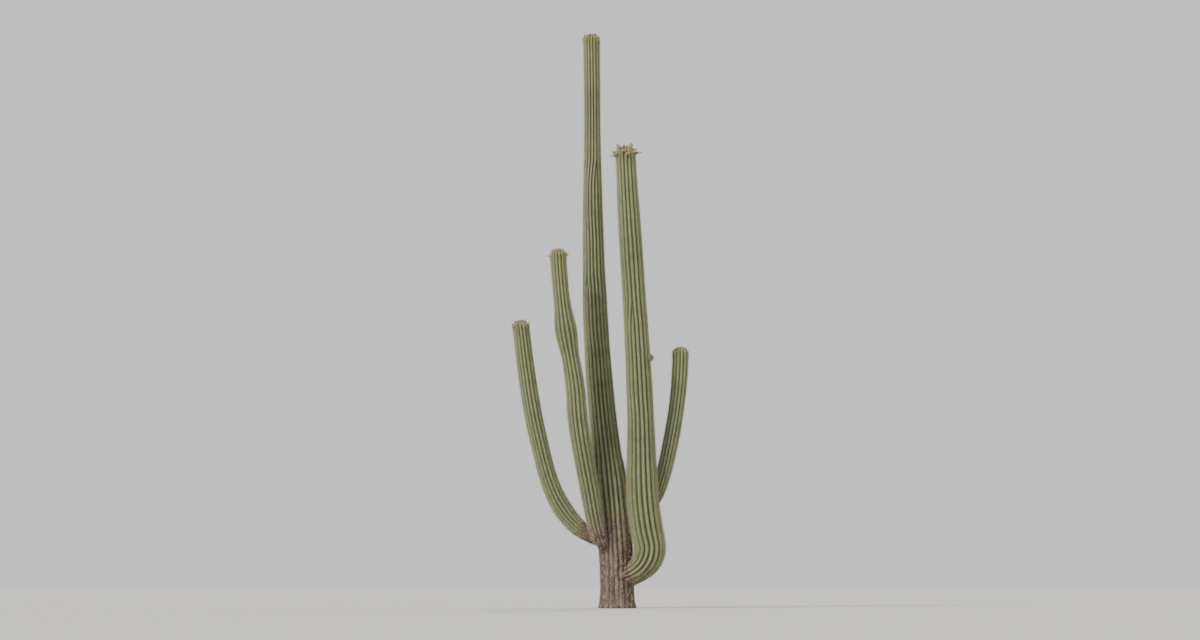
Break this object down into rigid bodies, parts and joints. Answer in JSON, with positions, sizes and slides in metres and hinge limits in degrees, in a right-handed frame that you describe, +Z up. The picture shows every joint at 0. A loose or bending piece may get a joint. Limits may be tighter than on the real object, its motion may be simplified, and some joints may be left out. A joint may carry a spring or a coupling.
{
  "type": "saguaro cactus",
  "caption": "Tall leaning saguaro cactus: a ribbed, tapering trunk with upturned arms on both sides and bud crowns at the tips, cut flat at ground level.",
  "frame": {"origin": "centre of the flat cut under the trunk, at ground level", "axes": "+Z up; +X across the plant, from its left arms to its right arms as the picture shows it; +Y away from the viewer"},
  "size_m": [3.6859, 1.905, 11.9789],
  "materials": {
    "trunk_skin": "waxy grey-green skin, brown and corky near the ground",
    "arm_skin": "waxy grey-green skin",
    "spines": "dry, straw to weathered grey",
    "spine_cushions": "short felt",
    "buds": "scaly green, reddish at the scale tips"
  },
  "bodies": {
    "root": {"trunk": "trunk_skin", "right_tall_arm_elbow": "arm_skin", "right_tall_arm": "arm_skin", "right_short_arm": "arm_skin", "left_tall_arm_elbow": "arm_skin", "left_tall_arm": "arm_skin", "left_low_arm_elbow": "arm_skin", "left_low_arm": "arm_skin"}
  },
  "joints": []
}
